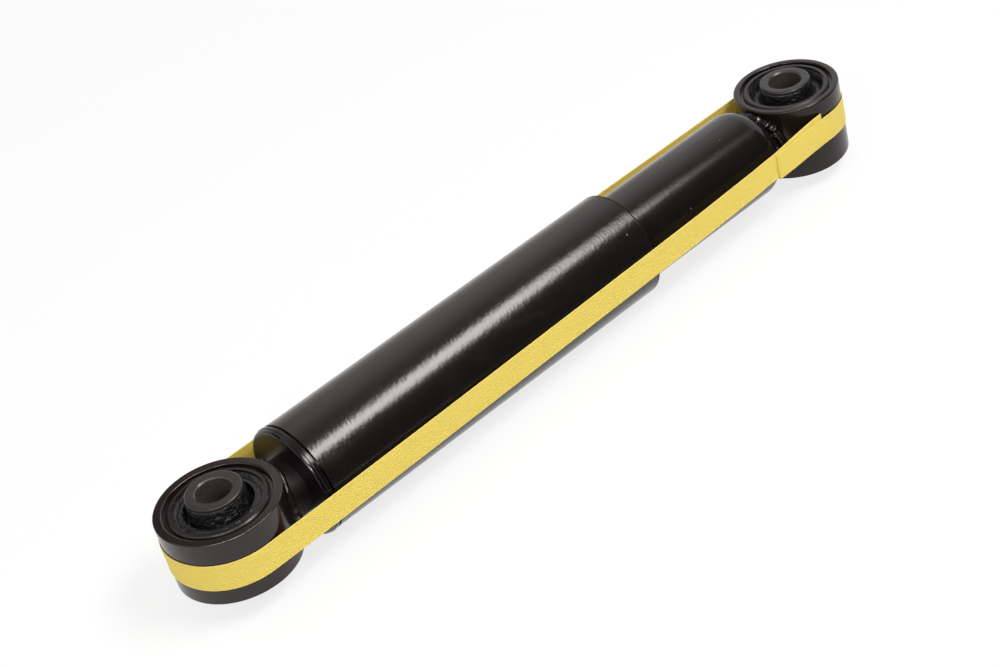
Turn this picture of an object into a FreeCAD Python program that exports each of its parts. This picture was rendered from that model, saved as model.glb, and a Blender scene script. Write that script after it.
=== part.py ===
import FreeCAD, Part
import Sketcher
import math
import os

# A telescopic twin-tube shock absorber with a rubber-bushed eye at each end, held near its closed
# length by a woven strap. The base eye's bore centre is the origin. +X runs along the damper to the
# rod eye, so the rod extends along +X, and +Z runs along both eye bores.

doc = FreeCAD.newDocument("ShockAbsorber")
sheet = doc.addObject("Spreadsheet::Sheet", "Sizes")

SIZES = [
    # Distance between the two eye bores as strapped
    ("eye_spacing", "445"),
    # Bolt sleeves, with the same bore and length at both ends
    ("bolt_bore", "20"),
    ("base_sleeve_od", "30.6"),
    ("rod_sleeve_od", "31.8"),
    ("sleeve_length", "55"),
    ("sleeve_round", "1.2"),
    ("bush_clearance", "0.05"),
    ("edge_break", "0.8"),
    ("mouth_round", "0.8"),
    # Base eye
    ("base_ring_wall", "5.7"),
    ("base_ring_height", "47"),
    ("base_ring_round", "1"),
    ("base_bush_od", "52.6"),
    ("base_lead_in", "1.7"),
    ("base_lead_depth", "2.5"),
    ("base_bush_wall", "2.8"),
    ("base_rubber_lip", "0.8"),
    # Rod eye
    ("rod_ring_wall", "7.4"),
    ("rod_ring_height", "40"),
    ("rod_ring_round", "0.6"),
    ("rod_bush_od", "55.2"),
    ("rod_lead_in", "2.3"),
    ("rod_lead_depth", "2.5"),
    ("rod_bush_wall", "2.4"),
    ("rod_ridge_drop", "0.6"),
    ("rod_moat_depth", "1.2"),
    ("rod_rubber_lip", "1.6"),
    # Rubber end faces
    ("bush_inset", "0.5"),
    ("rubber_inset", "1.0"),
    ("rubber_valley", "8"),
    ("rubber_climb", "3.5"),
    ("rubber_film", "0.7"),
    ("film_gap", "2.2"),
    # Weld necks
    ("neck_od", "34"),
    ("dome_gap", "2"),
    ("neck_gap", "7.8"),
    # Reservoir tube
    ("tube_od", "55.6"),
    ("tube_wall", "2"),
    ("dome_corner", "14"),
    ("lip_thickness", "2"),
    ("lip_reach", "3.8"),
    # Dust cover and its cap
    ("cover_gap", "3.6"),
    ("cover_wall", "1.5"),
    ("cover_length", "242.5"),
    ("seam_width", "1.4"),
    ("cap_wall", "3"),
    ("cap_skirt_wall", "2.2"),
    ("cap_skirt_length", "8"),
    ("cap_depth", "4.9"),
    ("cap_corner", "1.4"),
    ("cap_rim", "2.4"),
    ("cap_rim_round", "0.4"),
    ("cap_rim_step", "0.45"),
    ("cap_proud", "0.2"),
    ("cap_room", "18"),
    # Rod, guide and seal
    ("rod_od", "20"),
    ("rod_thread_od", "12"),
    ("rod_spigot_od", "16"),
    ("rod_spigot_depth", "6"),
    ("rod_clearance", "0.05"),
    ("washer_thickness", "4"),
    ("washer_gap", "1.5"),
    ("seal_height", "10"),
    ("guide_flange", "8"),
    ("guide_spigot", "12"),
    ("guide_bush_wall", "1.5"),
    ("guide_bush_inset", "1"),
    ("drain_bore", "3"),
    # Working travel from the strapped length
    ("stroke_in", "15"),
    ("stop_spacing", "6.7"),
    ("closed_gap", "3"),
    ("stop_margin", "0.5"),
    # Pressure tube and base valve
    ("cylinder_bore", "35"),
    ("cylinder_wall", "1.75"),
    ("skirt_height", "20"),
    ("skirt_wall", "3"),
    ("skirt_seat_gap", "0.3"),
    ("skirt_window", "8"),
    ("valve_flange", "4"),
    ("plug_height", "8"),
    ("valve_bolt_od", "8"),
    ("valve_bolt_across", "13"),
    ("valve_bolt_head", "4"),
    ("compression_stack", "1.4"),
    ("disc_gap", "1"),
    ("passage_bore", "2.6"),
    ("plate_thickness", "1"),
    ("check_spring_height", "5"),
    ("spring_strip", "0.8"),
    ("valve_nut_height", "5"),
    ("thread_proud", "1"),
    # Piston group
    ("piston_nut_across", "19"),
    ("piston_nut_height", "8"),
    ("rebound_stack", "4"),
    ("rebound_disc_od", "25"),
    ("piston_length", "22"),
    ("piston_gap", "0.3"),
    ("band_width", "14"),
    ("band_depth", "1.2"),
    ("intake_thickness", "1"),
    ("intake_spring_height", "4"),
    ("stop_washer", "2"),
    ("stop_washer_od", "22"),
    ("collar_height", "8"),
    ("collar_step", "0.8"),
    ("bumper_height", "10"),
    ("bumper_gap", "1.7"),
    # Strap
    ("strap_width", "16.8"),
    ("strap_thickness", "0.7"),
    ("strap_gap", "0.15"),
    ("strap_rise", "4"),
    ("strap_pitch_angle", "0.46"),
    ("strap_roll_angle", "4.1"),
    ("lap_start", "7"),
    ("lap_length", "46"),
    ("lap_skew_angle", "3"),
]

for row, (alias, text) in enumerate(SIZES, 1):
    sheet.set(f"A{row}", alias)
    sheet.set(f"B{row}", text)
    sheet.setAlias(f"B{row}", alias)
doc.recompute()


class Dim:
    """A length, as its present value and the formula that drives it from the sheet."""

    def __init__(self, value, formula):
        self.value = float(value)
        self.formula = formula

    def __add__(self, other):
        other = as_dim(other)
        return Dim(self.value + other.value, f"({self.formula} + {other.formula})")

    def __sub__(self, other):
        other = as_dim(other)
        return Dim(self.value - other.value, f"({self.formula} - {other.formula})")

    def __mul__(self, factor):
        return Dim(self.value * factor, f"({self.formula} * {factor})")

    def __truediv__(self, divisor):
        return Dim(self.value / divisor, f"({self.formula} / {divisor})")

    def __neg__(self):
        return Dim(-self.value, f"-({self.formula})")


def as_dim(value):
    """A plain number as a length."""
    if isinstance(value, Dim):
        return value
    return Dim(value, repr(float(value)))


def size(alias):
    """The named cell of the sheet as a length."""
    return Dim(sheet.get(alias), f"Sizes.{alias}")


pieces = []


def piece(label):
    """A new body for one physical piece."""
    body = doc.addObject("PartDesign::Body", label)
    body.Label = label
    pieces.append(body)
    return body


def origin_part(body, role):
    """One of a body's own origin planes or axes."""
    for feature in body.Origin.OriginFeatures:
        if feature.Role == role:
            return feature
    raise ValueError(role)


def sketch_on(body, name, role, lift=None):
    """A sketch on one of the body's origin planes, lifted along the plane's normal."""
    sketch = body.newObject("Sketcher::SketchObject", name)
    sketch.AttachmentSupport = [(origin_part(body, role), "")]
    sketch.MapMode = "FlatFace"
    if lift is not None:
        sketch.AttachmentOffset = FreeCAD.Placement(
            FreeCAD.Vector(0, 0, lift.value), FreeCAD.Rotation()
        )
        sketch.setExpression("AttachmentOffset.Base.z", lift.formula)
    return sketch


def drive(sketch, kind, ends, wanted):
    """One driven distance or radius of a sketch."""
    index = sketch.addConstraint(Sketcher.Constraint(kind, *ends, wanted.value))
    sketch.setExpression(f"Constraints[{index}]", wanted.formula)


def hold_along(sketch, geo, pos, kind, axis, wanted):
    """Ties a point to the sketch's origin in one direction."""
    wanted = as_dim(wanted)
    if abs(wanted.value) < 1e-9:
        sketch.addConstraint(Sketcher.Constraint("PointOnObject", geo, pos, axis))
    elif wanted.value > 0:
        drive(sketch, kind, (-1, 1, geo, pos), wanted)
    else:
        drive(sketch, kind, (geo, pos, -1, 1), -wanted)


def hold(sketch, geo, pos, x, y):
    """Ties a point to the sketch's origin by both distances."""
    hold_along(sketch, geo, pos, "DistanceX", -2, x)
    hold_along(sketch, geo, pos, "DistanceY", -1, y)


def towards(here, there, radius):
    """The coordinate one radius from a corner towards its neighbour."""
    if there.value > here.value:
        return here + radius
    return here - radius


def outline(sketch, corners):
    """A closed outline through the corners.

    A corner with a third value is rounded to that radius and joins a line along x to one along y.
    """
    corners = [tuple(as_dim(value) for value in corner) for corner in corners]
    count = len(corners)
    stops = []
    for i, corner in enumerate(corners):
        x, y = corner[0], corner[1]
        if len(corner) == 2:
            stops.append(((x, y), (x, y), None))
            continue
        radius = corner[2]
        before = corners[i - 1]
        after = corners[(i + 1) % count]
        if abs(before[1].value - y.value) < 1e-9:
            start = (towards(x, before[0], radius), y)
            end = (x, towards(y, after[1], radius))
            centre = (start[0], end[1])
        else:
            start = (x, towards(y, before[1], radius))
            end = (towards(x, after[0], radius), y)
            centre = (end[0], start[1])
        stops.append((start, end, (centre, radius)))
    lines = []
    for i in range(count):
        a = stops[i][1]
        b = stops[(i + 1) % count][0]
        line = Part.LineSegment(
            FreeCAD.Vector(a[0].value, a[1].value, 0),
            FreeCAD.Vector(b[0].value, b[1].value, 0),
        )
        lines.append(sketch.addGeometry(line, False))
    for i, (start, end, round_off) in enumerate(stops):
        before = lines[i - 1]
        after = lines[i]
        if round_off is None:
            sketch.addConstraint(Sketcher.Constraint("Coincident", before, 2, after, 1))
            hold(sketch, after, 1, *start)
            continue
        centre, radius = round_off
        first = math.atan2(start[1].value - centre[1].value, start[0].value - centre[0].value)
        last = math.atan2(end[1].value - centre[1].value, end[0].value - centre[0].value)
        turn = math.remainder(last - first, 2 * math.pi)
        low, high = (first, first + turn) if turn > 0 else (last, last - turn)
        circle = Part.Circle(
            FreeCAD.Vector(centre[0].value, centre[1].value, 0),
            FreeCAD.Vector(0, 0, 1),
            radius.value,
        )
        arc = sketch.addGeometry(Part.ArcOfCircle(circle, low, high), False)
        arc_start, arc_end = (1, 2) if turn > 0 else (2, 1)
        sketch.addConstraint(Sketcher.Constraint("Coincident", before, 2, arc, arc_start))
        sketch.addConstraint(Sketcher.Constraint("Coincident", after, 1, arc, arc_end))
        hold(sketch, before, 2, *start)
        hold(sketch, after, 1, *end)
        hold_along(sketch, arc, 3, "DistanceX", -2, centre[0])


def turned(body, name, corners, axis, cut=False):
    """The corners' outline turned once about X (the H_Axis) or Z (the V_Axis)."""
    sketch = sketch_on(body, name + "_profile", "XZ_Plane")
    outline(sketch, corners)
    kind = "PartDesign::Groove" if cut else "PartDesign::Revolution"
    feature = body.newObject(kind, name)
    feature.Profile = sketch
    feature.ReferenceAxis = (sketch, [axis])
    feature.Angle = 360
    return feature


def through_cut(body, name, sketch):
    """A pocket right through the body, both ways from its sketch."""
    pocket = body.newObject("PartDesign::Pocket", name)
    pocket.Profile = sketch
    pocket.Type = "ThroughAll"
    pocket.SideType = "Symmetric"
    return pocket


def ring_of(body, name, pocket, count, angle=360):
    """Copies of a pocket about the damper's axis."""
    pattern = body.newObject("PartDesign::PolarPattern", name)
    pattern.Originals = [pocket]
    pattern.Axis = (origin_part(body, "X_Axis"), [""])
    pattern.Angle = angle
    pattern.Occurrences = count
    body.Tip = pattern
    return pattern


def passages(body, name, pitch_radius, bore, count):
    """A ring of round passages along the damper's axis."""
    sketch = sketch_on(body, name + "_circle", "YZ_Plane")
    circle = Part.Circle(
        FreeCAD.Vector(pitch_radius.value, 0, 0), FreeCAD.Vector(0, 0, 1), bore.value / 2
    )
    hole = sketch.addGeometry(circle, False)
    drive(sketch, "Radius", (hole,), bore / 2)
    hold(sketch, hole, 3, pitch_radius, 0)
    return ring_of(body, name + "_ring", through_cut(body, name, sketch), count)


def fingers(body, name, inner, outer, width, count):
    """Radial windows that leave the fingers of a star spring."""
    sketch = sketch_on(body, name + "_window", "YZ_Plane")
    outline(
        sketch,
        [(inner, -(width / 2)), (outer, -(width / 2)), (outer, width / 2), (inner, width / 2)],
    )
    return ring_of(body, name + "_ring", through_cut(body, name, sketch), count)


def round_rings(body, name, ring_r, ring_z, radius):
    """Rounds the two circular edges of that radius, above and below the middle."""
    doc.recompute()
    blank = body.Tip
    names = []
    for number, edge in enumerate(blank.Shape.Edges, 1):
        curve = edge.Curve
        if not isinstance(curve, Part.Circle):
            continue
        if abs(curve.Radius - ring_r.value) < 1e-4 and abs(abs(curve.Center.z) - ring_z.value) < 1e-4:
            names.append(f"Edge{number}")
    fillet = body.newObject("PartDesign::Fillet", name)
    fillet.Base = (blank, names)
    fillet.Radius = radius.value
    fillet.setExpression("Radius", radius.formula)
    return fillet


# Eye radii and heights
base_bush_r = size("base_bush_od") / 2
rod_bush_r = size("rod_bush_od") / 2
base_ring_r = base_bush_r + size("base_ring_wall")
rod_ring_r = rod_bush_r + size("rod_ring_wall")
neck_r = size("neck_od") / 2

# Stations along the damper from the base end
tube_r = size("tube_od") / 2
tube_bore = tube_r - size("tube_wall")
dome_face = base_ring_r + size("dome_gap")
dome_inside = dome_face + size("tube_wall")
inner_corner = size("dome_corner") - size("tube_wall")
skirt_top = dome_inside + size("skirt_height")
seat = skirt_top + size("valve_flange")
plug_top = seat + size("plug_height")
plate_top = plug_top + size("plate_thickness")
check_spring_top = plate_top + size("check_spring_height")
valve_nut_top = check_spring_top + size("valve_nut_height")
valve_bolt_end = valve_nut_top + size("thread_proud")

# Stations along the damper from the rod end
cap_face = size("eye_spacing") - rod_ring_r - size("neck_gap")
cap_inside = cap_face - size("cap_wall")
rim_start = cap_face - size("cap_depth")
rim_end = rim_start + size("cap_rim")
cover_end = rim_start - size("seam_width")
cover_open = cover_end - size("cover_length")
cover_bore = tube_r + size("cover_gap")
cover_r = cover_bore + size("cover_wall")
cap_r = cover_r + size("cap_proud")
tube_end = cap_inside - size("cap_room")
lip_start = tube_end - size("lip_thickness")
washer_start = lip_start - size("washer_thickness")
seal_start = washer_start - size("seal_height")
flange_start = seal_start - size("guide_flange")
guide_under = flange_start - size("guide_spigot")

# Stations of the piston group
rod_r = size("rod_od") / 2
thread_r = size("rod_thread_od") / 2
rod_tip = valve_bolt_end + size("closed_gap") + size("stroke_in")
nut_start = rod_tip + size("thread_proud")
nut_end = nut_start + size("piston_nut_height")
piston_start = nut_end + size("rebound_stack")
piston_end = piston_start + size("piston_length")
intake_end = piston_end + size("intake_thickness")
intake_spring_end = intake_end + size("intake_spring_height")
rod_shoulder = intake_spring_end + size("stop_washer")
collar_start = rod_shoulder + size("stop_spacing")
bumper_start = collar_start + size("collar_height")
bumper_end = bumper_start + size("bumper_height")

# Radii inside
bore_r = size("cylinder_bore") / 2
pressure_r = bore_r + size("cylinder_wall")
bolt_r = size("valve_bolt_od") / 2
skirt_out = tube_bore - inner_corner - size("skirt_seat_gap")
skirt_in = skirt_out - size("skirt_wall")
compression_disc_r = skirt_in - size("disc_gap")
bumper_r = bore_r - size("bumper_gap")
collar_r = bumper_r - size("collar_step")
piston_r = bore_r - size("piston_gap")
band_seat_r = piston_r - size("band_depth")
slide_r = rod_r + size("rod_clearance")
guide_seat_r = slide_r + size("guide_bush_wall")
spigot_r = size("rod_spigot_od") / 2


def eye_disc(body, radius, height, edge):
    """The eye ring's outside as a solid disc with rounded edges."""
    half = height / 2
    corners = [(0, -half), (radius, -half, edge), (radius, half, edge), (0, half)]
    turned(body, body.Label + "_disc", corners, "V_Axis")


def eye_bore(body, radius, height, lead_in, lead_depth):
    """The bush seat through an eye ring, with a wider step at each end and a rounded mouth."""
    half = height / 2
    mouth = radius + lead_in
    depth = half - lead_depth
    corners = [
        (0, -half),
        (mouth, -half),
        (mouth, -depth),
        (radius, -depth),
        (radius, depth),
        (mouth, depth),
        (mouth, half),
        (0, half),
    ]
    turned(body, body.Label + "_bore", corners, "V_Axis", cut=True)
    round_rings(body, body.Label + "_mouth", mouth, half, size("mouth_round"))


def at_rod_eye(body):
    """Places a body's own origin at the rod eye."""
    body.Placement.Base.x = size("eye_spacing").value
    body.setExpression("Placement.Base.x", "Sizes.eye_spacing")


# Base eye ring, with the weld neck that fits the tube's rounded end
body = piece("base_eye_ring")
eye_disc(body, base_ring_r, size("base_ring_height"), size("base_ring_round"))
neck_root = base_bush_r / 2
neck_tip = dome_face + size("dome_corner") / 2
neck = [(neck_root, 0), (neck_root, neck_r), (neck_tip, neck_r), (neck_tip, 0)]
turned(body, "base_neck", neck, "H_Axis")
dome_depth = dome_face + size("dome_corner") * 2
dome = [(dome_face, 0), (dome_face, tube_r, size("dome_corner")), (dome_depth, tube_r), (dome_depth, 0)]
turned(body, "base_neck_saddle", dome, "H_Axis", cut=True)
eye_bore(body, base_bush_r, size("base_ring_height"), size("base_lead_in"), size("base_lead_depth"))

# Rod eye ring, with the weld neck that takes the rod's spigot
body = piece("rod_eye_ring")
eye_disc(body, rod_ring_r, size("rod_ring_height"), size("rod_ring_round"))
neck_face = rod_ring_r + size("neck_gap")
neck_root = rod_bush_r / 2
neck = [(-neck_root, 0), (-neck_root, neck_r), (-neck_face, neck_r), (-neck_face, 0)]
turned(body, "rod_neck", neck, "H_Axis")
pocket_end = neck_face - size("rod_spigot_depth")
pocket = [(-pocket_end, 0), (-pocket_end, spigot_r), (-neck_face, spigot_r), (-neck_face, 0)]
turned(body, "rod_spigot_pocket", pocket, "H_Axis", cut=True)
eye_bore(body, rod_bush_r, size("rod_ring_height"), size("rod_lead_in"), size("rod_lead_depth"))
at_rod_eye(body)


def bush(end, outer_r, wall, height, sleeve_od, ridged):
    """The bonded bush of one eye: outer sleeve, rubber and inner bolt sleeve.

    The rubber's ends sink to a valley beside the bolt sleeve, and a film of it climbs the sleeve. A
    ridged one rises again to a ring between two hollows.
    """
    half = height / 2 - size("bush_inset")
    inner_r = outer_r - wall
    sleeve_r = sleeve_od / 2
    rubber_in = sleeve_r + size("bush_clearance")
    chamfer = size("edge_break")
    outer = piece(end + "_bush_outer_sleeve")
    corners = [
        (inner_r, -half),
        (outer_r - chamfer, -half),
        (outer_r, chamfer - half),
        (outer_r, half - chamfer),
        (outer_r - chamfer, half),
        (inner_r, half),
    ]
    turned(outer, end + "_outer_sleeve", corners, "V_Axis")
    rubber = piece(end + "_bush_rubber")
    width = inner_r - rubber_in
    lip_z = half - size("rubber_inset")
    valley_z = lip_z - size("rubber_valley")
    climb_z = valley_z + size("rubber_climb")
    end_z = size("sleeve_length") / 2
    film = size("rubber_film")
    film_z = end_z - size("film_gap")
    climb = [
        (rubber_in, film_z),
        (rubber_in + film / 2, film_z - film),
        (rubber_in + film, climb_z),
    ]
    if ridged:
        valley_r = rubber_in + width * 0.2
        valley_round = width * 0.06
        ridge_z = lip_z - size("rod_ridge_drop")
        slope = [
            (valley_r, valley_z),
            (rubber_in + width * 0.38, ridge_z),
            (rubber_in + width * 0.55, ridge_z),
            (rubber_in + width * 0.7, lip_z - size("rod_moat_depth")),
            (inner_r - size("rod_rubber_lip"), lip_z),
            (inner_r, lip_z),
        ]
    else:
        valley_r = rubber_in + width * 0.42
        valley_round = width * 0.3
        slope = [
            (valley_r, valley_z),
            (inner_r - size("base_rubber_lip"), lip_z),
            (inner_r, lip_z),
        ]
    top = climb + slope
    corners = [(r, -z) for r, z in top] + top[::-1]
    turned(rubber, end + "_rubber", corners, "V_Axis")
    round_rings(rubber, end + "_rubber_valley", valley_r, valley_z, valley_round)
    inner = piece(end + "_bush_inner_sleeve")
    bore = size("bolt_bore") / 2
    corners = [
        (bore, chamfer - end_z),
        (bore + chamfer, -end_z),
        (sleeve_r, -end_z, size("sleeve_round")),
        (sleeve_r, end_z, size("sleeve_round")),
        (bore + chamfer, end_z),
        (bore, end_z - chamfer),
    ]
    turned(inner, end + "_inner_sleeve", corners, "V_Axis")
    return [outer, rubber, inner]


base_height = size("base_ring_height")
bush("base", base_bush_r, size("base_bush_wall"), base_height, size("base_sleeve_od"), False)
rod_height = size("rod_ring_height")
rod_bush = bush("rod", rod_bush_r, size("rod_bush_wall"), rod_height, size("rod_sleeve_od"), True)
for body in rod_bush:
    at_rod_eye(body)

# Reservoir tube, with a closed rounded end and an end rolled over the closing washer
body = piece("reservoir_tube")
lip_r = tube_bore - size("lip_reach")
corners = [
    (dome_face, 0),
    (dome_face, tube_r, size("dome_corner")),
    (tube_end, tube_r, size("lip_thickness")),
    (tube_end, lip_r),
    (lip_start, lip_r),
    (lip_start, tube_bore),
    (dome_inside, tube_bore, inner_corner),
    (dome_inside, 0),
]
turned(body, "reservoir", corners, "H_Axis")

# Dust cover and the drawn cap that carries it
body = piece("dust_cover")
corners = [
    (cover_open, cover_bore),
    (cover_open, cover_r),
    (cover_end, cover_r),
    (cover_end, cover_bore),
]
turned(body, "cover_tube", corners, "H_Axis")

body = piece("cover_cap")
skirt_r = cover_bore - size("cap_skirt_wall")
cap_skirt = cover_end - size("cap_skirt_length")
corners = [
    (cap_skirt, skirt_r),
    (cap_skirt, cover_bore),
    (rim_start, cover_bore),
    (rim_start, cap_r, size("cap_rim_round")),
    (rim_end, cap_r, size("cap_rim_round")),
    (rim_end, cap_r - size("cap_rim_step")),
    (cap_face, cap_r - size("cap_rim_step"), size("cap_corner")),
    (cap_face, spigot_r),
    (cap_inside, spigot_r),
    (cap_inside, skirt_r, size("cap_wall")),
]
turned(body, "cap", corners, "H_Axis")

# Piston rod, from its thread to the spigot in the rod eye
body = piece("piston_rod")
spigot_end = cap_face + size("rod_spigot_depth")
corners = [
    (rod_tip, 0),
    (rod_tip, thread_r),
    (rod_shoulder, thread_r),
    (rod_shoulder, rod_r),
    (cap_inside, rod_r),
    (cap_inside, spigot_r),
    (spigot_end, spigot_r),
    (spigot_end, 0),
]
turned(body, "rod", corners, "H_Axis")


def washer(label, start, end, inner, outer):
    """A flat ring about the damper's axis."""
    body = piece(label)
    turned(body, label + "_ring", [(start, inner), (start, outer), (end, outer), (end, inner)], "H_Axis")
    return body


# Piston, its band and its valves
body = piece("piston")
band_start = piston_start + (size("piston_length") - size("band_width")) / 2
band_end = band_start + size("band_width")
corners = [
    (piston_start, thread_r),
    (piston_start, piston_r),
    (band_start, piston_r),
    (band_start, band_seat_r),
    (band_end, band_seat_r),
    (band_end, piston_r),
    (piston_end, piston_r),
    (piston_end, thread_r),
]
turned(body, "piston_blank", corners, "H_Axis")
rebound_pitch = (thread_r + size("rebound_disc_od") / 2) / 2
intake_pitch = (size("rebound_disc_od") / 2 + band_seat_r) / 2
passages(body, "rebound_passage", rebound_pitch, size("passage_bore"), 6)
passages(body, "intake_passage", intake_pitch, size("passage_bore"), 6)

washer("piston_band", band_start, band_end, band_seat_r, bore_r - size("rod_clearance"))

body = piece("rebound_valve_discs")
backing_r = (thread_r + size("rebound_disc_od") / 2) / 2
step = nut_end + size("rebound_stack") / 2
corners = [
    (nut_end, thread_r),
    (nut_end, backing_r),
    (step, backing_r),
    (step, size("rebound_disc_od") / 2),
    (piston_start, size("rebound_disc_od") / 2),
    (piston_start, thread_r),
]
turned(body, "rebound_stack_profile", corners, "H_Axis")

intake_in = size("rebound_disc_od") / 2
washer("intake_valve_disc", piston_end, intake_end, intake_in, band_seat_r)


def star_spring(label, start, end, foot_r, hub_r, bore):
    """A coned spring washer with its windows, foot at the start and hub at the end."""
    strip = size("spring_strip")
    body = piece(label)
    corners = [
        (start, foot_r),
        (start + strip, foot_r),
        (end, hub_r),
        (end, bore),
        (end - strip, bore),
        (end - strip, hub_r - strip),
    ]
    turned(body, label + "_cone", corners, "H_Axis")
    fingers(body, label + "_windows", hub_r + strip, foot_r + strip, foot_r / 4, 6)
    return body


spring_foot = (intake_in + band_seat_r) / 2
star_spring("intake_valve_spring", intake_end, intake_spring_end, spring_foot, thread_r * 1.4, thread_r)
washer("intake_stop_washer", intake_spring_end, rod_shoulder, thread_r, size("stop_washer_od") / 2)
washer("rebound_stop_collar", collar_start, bumper_start, rod_r, collar_r)
washer("rebound_bumper", bumper_start, bumper_end, rod_r, bumper_r)


def along_x(solid, start):
    """Turns a primitive's own axis to +X and puts its foot at a station."""
    solid.Placement = FreeCAD.Placement(
        FreeCAD.Vector(start.value, 0, 0), FreeCAD.Rotation(FreeCAD.Vector(0, 1, 0), 90)
    )
    solid.setExpression("Placement.Base.x", start.formula)


def hexagon(name, start, length, across):
    """A hexagonal bar along the damper's axis."""
    bar = doc.addObject("Part::Prism", name)
    bar.Polygon = 6
    bar.setExpression("Circumradius", f"({across.formula}) / sqrt(3)")
    bar.setExpression("Height", length.formula)
    along_x(bar, start)
    return bar


def round_bar(name, start, length, radius):
    """A round bar along the damper's axis."""
    bar = doc.addObject("Part::Cylinder", name)
    bar.setExpression("Radius", radius.formula)
    bar.setExpression("Height", length.formula)
    along_x(bar, start)
    return bar


def nut(label, start, length, across, hole_r):
    """A plain hexagonal nut about the damper's axis."""
    cut = doc.addObject("Part::Cut", label)
    cut.Label = label
    cut.Base = hexagon(label + "_hexagon", start, length, across)
    cut.Tool = round_bar(label + "_hole", start, length, hole_r)
    pieces.append(cut)
    return cut


nut("piston_nut", nut_start, size("piston_nut_height"), size("piston_nut_across"), thread_r)

# Pressure tube between the base valve and the rod guide
washer("pressure_tube", seat, flange_start, bore_r, pressure_r)

# Base valve: body with skirt, compression discs, check plate, spring, bolt and nut
body = piece("base_valve_body")
corners = [
    (dome_inside, skirt_in),
    (dome_inside, skirt_out),
    (skirt_top, skirt_out),
    (skirt_top, pressure_r),
    (seat, pressure_r),
    (seat, bore_r),
    (plug_top, bore_r),
    (plug_top, bolt_r),
    (skirt_top, bolt_r),
    (skirt_top, skirt_in),
]
turned(body, "valve_blank", corners, "H_Axis")
compression_pitch = (bolt_r + compression_disc_r) / 2
check_pitch = (skirt_out + bore_r) / 2
passages(body, "compression_passage", compression_pitch, size("passage_bore"), 6)
passages(body, "check_passage", check_pitch, size("passage_bore"), 8)
window = sketch_on(body, "skirt_window_outline", "XZ_Plane")
window_half = size("skirt_window") / 2
window_top = dome_inside + size("skirt_window")
outline(
    window,
    [
        (dome_inside, -window_half),
        (window_top, -window_half),
        (window_top, window_half),
        (dome_inside, window_half),
    ],
)
ring_of(body, "skirt_window_ring", through_cut(body, "skirt_windows", window), 2, 90)

stack_start = skirt_top - size("compression_stack")
washer("compression_valve_discs", stack_start, skirt_top, bolt_r, compression_disc_r)
plate_in = check_pitch - size("passage_bore")
plate_out = bore_r - size("piston_gap")
washer("base_check_plate", plug_top, plate_top, plate_in, plate_out)
star_spring("base_check_spring", plate_top, check_spring_top, check_pitch, bolt_r * 1.6, bolt_r)
head_start = stack_start - size("valve_bolt_head")
bolt = doc.addObject("Part::Fuse", "base_valve_bolt")
bolt.Label = "base_valve_bolt"
bolt.Base = hexagon("bolt_head", head_start, size("valve_bolt_head"), size("valve_bolt_across"))
bolt.Tool = round_bar("bolt_shank", stack_start, valve_bolt_end - stack_start, bolt_r)
pieces.append(bolt)
nut("base_valve_nut", check_spring_top, size("valve_nut_height"), size("valve_bolt_across"), bolt_r)

# Rod guide, its bush, the rod seal and the closing washer
body = piece("rod_guide")
corners = [
    (guide_under, guide_seat_r),
    (guide_under, bore_r),
    (flange_start, bore_r),
    (flange_start, tube_bore),
    (seal_start, tube_bore),
    (seal_start, guide_seat_r),
]
turned(body, "guide_blank", corners, "H_Axis")
passages(body, "drain", (pressure_r + tube_bore) / 2, size("drain_bore"), 4)

bush_inset = size("guide_bush_inset")
washer("guide_bush", guide_under + bush_inset, seal_start - bush_inset, slide_r, guide_seat_r)

body = piece("rod_seal")
seal_step = size("seal_height") / 5
relief_r = rod_r + size("washer_gap")
corners = [
    (seal_start, relief_r),
    (seal_start, tube_bore),
    (washer_start, tube_bore),
    (washer_start, relief_r),
    (washer_start - seal_step, slide_r),
    (washer_start - seal_step * 1.5, slide_r),
    (seal_start + seal_step * 2.5, relief_r),
    (seal_start + seal_step * 1.5, slide_r),
    (seal_start + seal_step, slide_r),
]
turned(body, "seal", corners, "H_Axis")

washer("closing_washer", washer_start, lip_start, relief_r, tube_bore)


def tangent_point(roller, lean):
    """Where a straight run of that lean touches a roller on its outer side."""
    x, y, radius = roller
    return FreeCAD.Vector(x - radius * math.sin(lean), y + radius * math.cos(lean), 0)


def taut_side(rollers):
    """The rollers that a taut band touches on one side, with the lean of each straight run.

    From each roller the band goes to the one whose outer tangent leans furthest outwards.
    """
    touched = [rollers[0]]
    leans = []
    ahead = list(rollers[1:])
    while ahead:
        x, y, radius = touched[-1]
        choices = []
        for number, (next_x, next_y, next_radius) in enumerate(ahead):
            reach = math.hypot(next_x - x, next_y - y)
            bearing = math.atan2(next_y - y, next_x - x)
            choices.append((bearing + math.asin((next_radius - radius) / reach), number))
        lean, number = max(choices)
        leans.append(lean)
        touched.append(ahead[number])
        ahead = ahead[number + 1 :]
    return touched, leans


def taut_runs(offset):
    """What a band that far outside the eyes, the cover's edge and the cap's rim touches."""
    corner = size("cap_rim_round").value
    rollers = [
        (0.0, 0.0, base_ring_r.value + offset),
        (cover_open.value, cover_r.value, offset),
        (rim_end.value - corner, cap_r.value - corner, corner + offset),
        (size("eye_spacing").value, 0.0, rod_ring_r.value + offset),
    ]
    return taut_side(rollers)


def mirrored(point):
    """The same point on the other side of the damper."""
    return FreeCAD.Vector(point.x, -point.y, point.z)


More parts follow.
